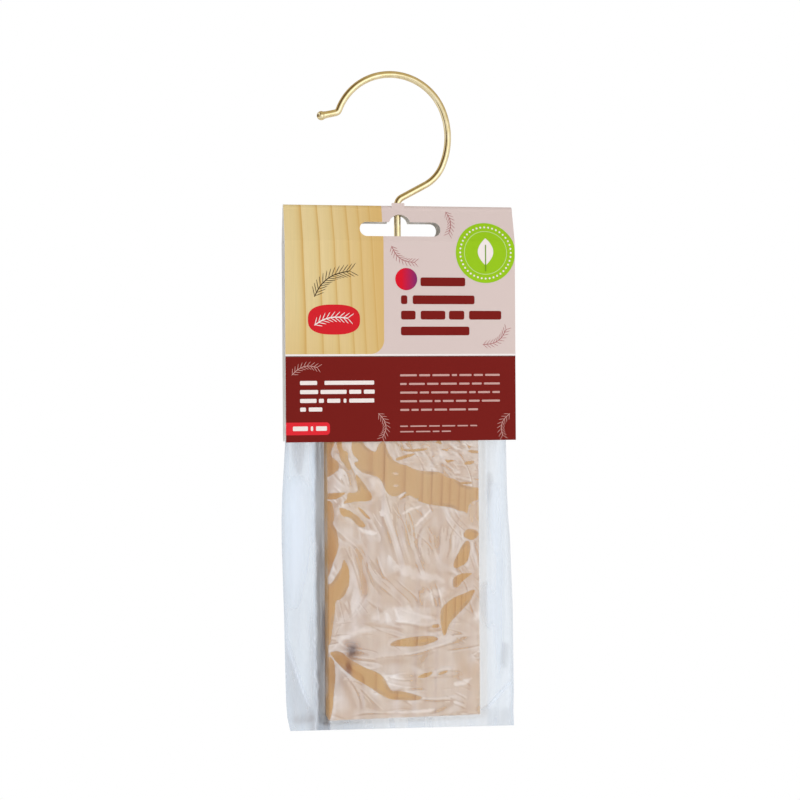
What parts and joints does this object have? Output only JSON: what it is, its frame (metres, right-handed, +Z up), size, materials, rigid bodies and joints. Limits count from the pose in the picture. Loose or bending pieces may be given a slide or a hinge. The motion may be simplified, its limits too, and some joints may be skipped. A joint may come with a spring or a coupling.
{
  "type": "cedar hanger block",
  "caption": "Flat cedar board with a swivelling wire hook in its top edge, standing loose in a clear film bag that a folded header card with a hanging slot closes.",
  "frame": {"origin": "on the axis of the hook's stem, half way between the card's two panels, level with the upper edge of the hanging slot's long part", "axes": "+Z up along the stem, -Y out of the pack's printed front, +X to the right seen from the front"},
  "size_m": [0.1, 0.0138, 0.281],
  "materials": {
    "cedar": "planed, raw",
    "brass_wire": "bright plated",
    "printed_card": "printed, satin varnish",
    "clear_film": "clear gloss",
    "glue": "milky"
  },
  "bodies": {
    "package": {"header_card": "printed_card", "bag": "clear_film", "front_glue_strip": "glue", "rear_glue_strip": "glue"},
    "block": {"board": "cedar"},
    "hook": {"hook": "brass_wire"}
  },
  "joints": [
    {"name": "block_slide", "type": "slide", "parent": "package", "child": "block", "axis": [0, 0, 1], "range_m": [0, 0.006]},
    {"name": "hook_swivel", "type": "hinge", "parent": "block", "child": "hook", "pos_m": [0, 0, -0.0147], "axis": [0, 0, 1], "range_deg": [-180, 180]}
  ]
}
